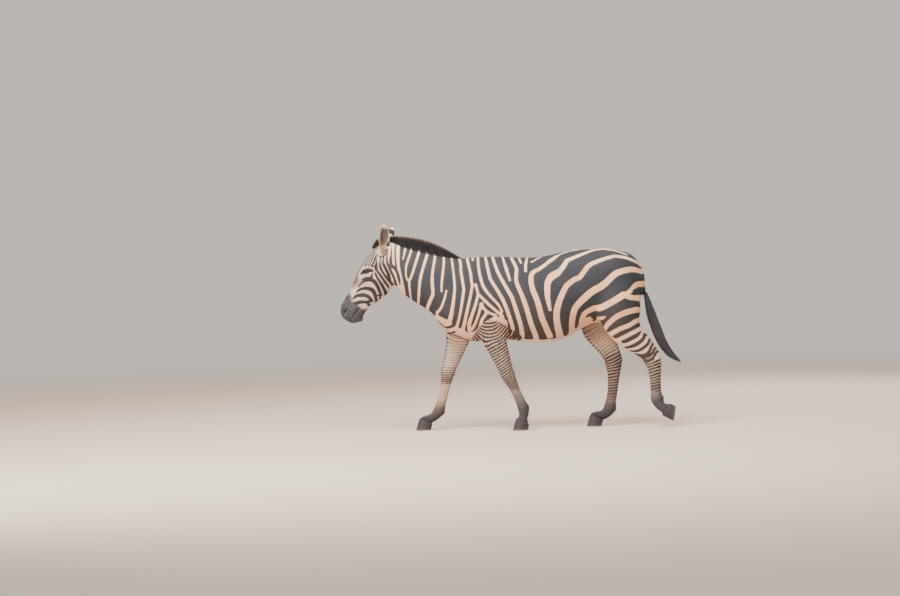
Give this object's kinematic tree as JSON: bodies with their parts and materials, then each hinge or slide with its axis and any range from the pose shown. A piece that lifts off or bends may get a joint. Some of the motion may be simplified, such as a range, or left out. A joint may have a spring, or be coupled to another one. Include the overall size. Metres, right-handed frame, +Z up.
{
  "type": "plains zebra",
  "caption": "Life-size still model of a striped plains zebra in a slow walk, head carried low and tail swung back, resting on the flat soles of its hooves.",
  "frame": {"origin": "middle of the bounding box at floor level", "axes": "+Z up; the head points to -X and the tail to +X; the animal's left side faces -Y"},
  "size_m": [2.5827, 0.4864, 1.5824],
  "materials": {
    "coat": "short flat fur in dark and cream stripes, matt with a slight sheen",
    "long_hair": "coarse upright and hanging hair, dark brown to black, matt",
    "hoof_horn": "slate grey horn, dusty, faint growth rings",
    "eye": "wet, almost black"
  },
  "bodies": {
    "root": {"trunk": "coat", "neck": "coat", "head": "coat", "mane": "long_hair", "forelock": "long_hair", "ear_left": "coat", "ear_right": "coat", "eye_left": "eye", "eye_right": "eye", "tail_dock": "long_hair", "tail_switch": "long_hair", "leg_fore_left_upper": "coat", "leg_fore_left_lower": "coat", "hoof_fore_left": "hoof_horn", "leg_fore_right_upper": "coat", "leg_fore_right_lower": "coat", "hoof_fore_right": "hoof_horn", "leg_hind_left_upper": "coat", "leg_hind_left_lower": "coat", "hoof_hind_left": "hoof_horn", "leg_hind_right_upper": "coat", "leg_hind_right_lower": "coat", "hoof_hind_right": "hoof_horn"}
  },
  "joints": []
}
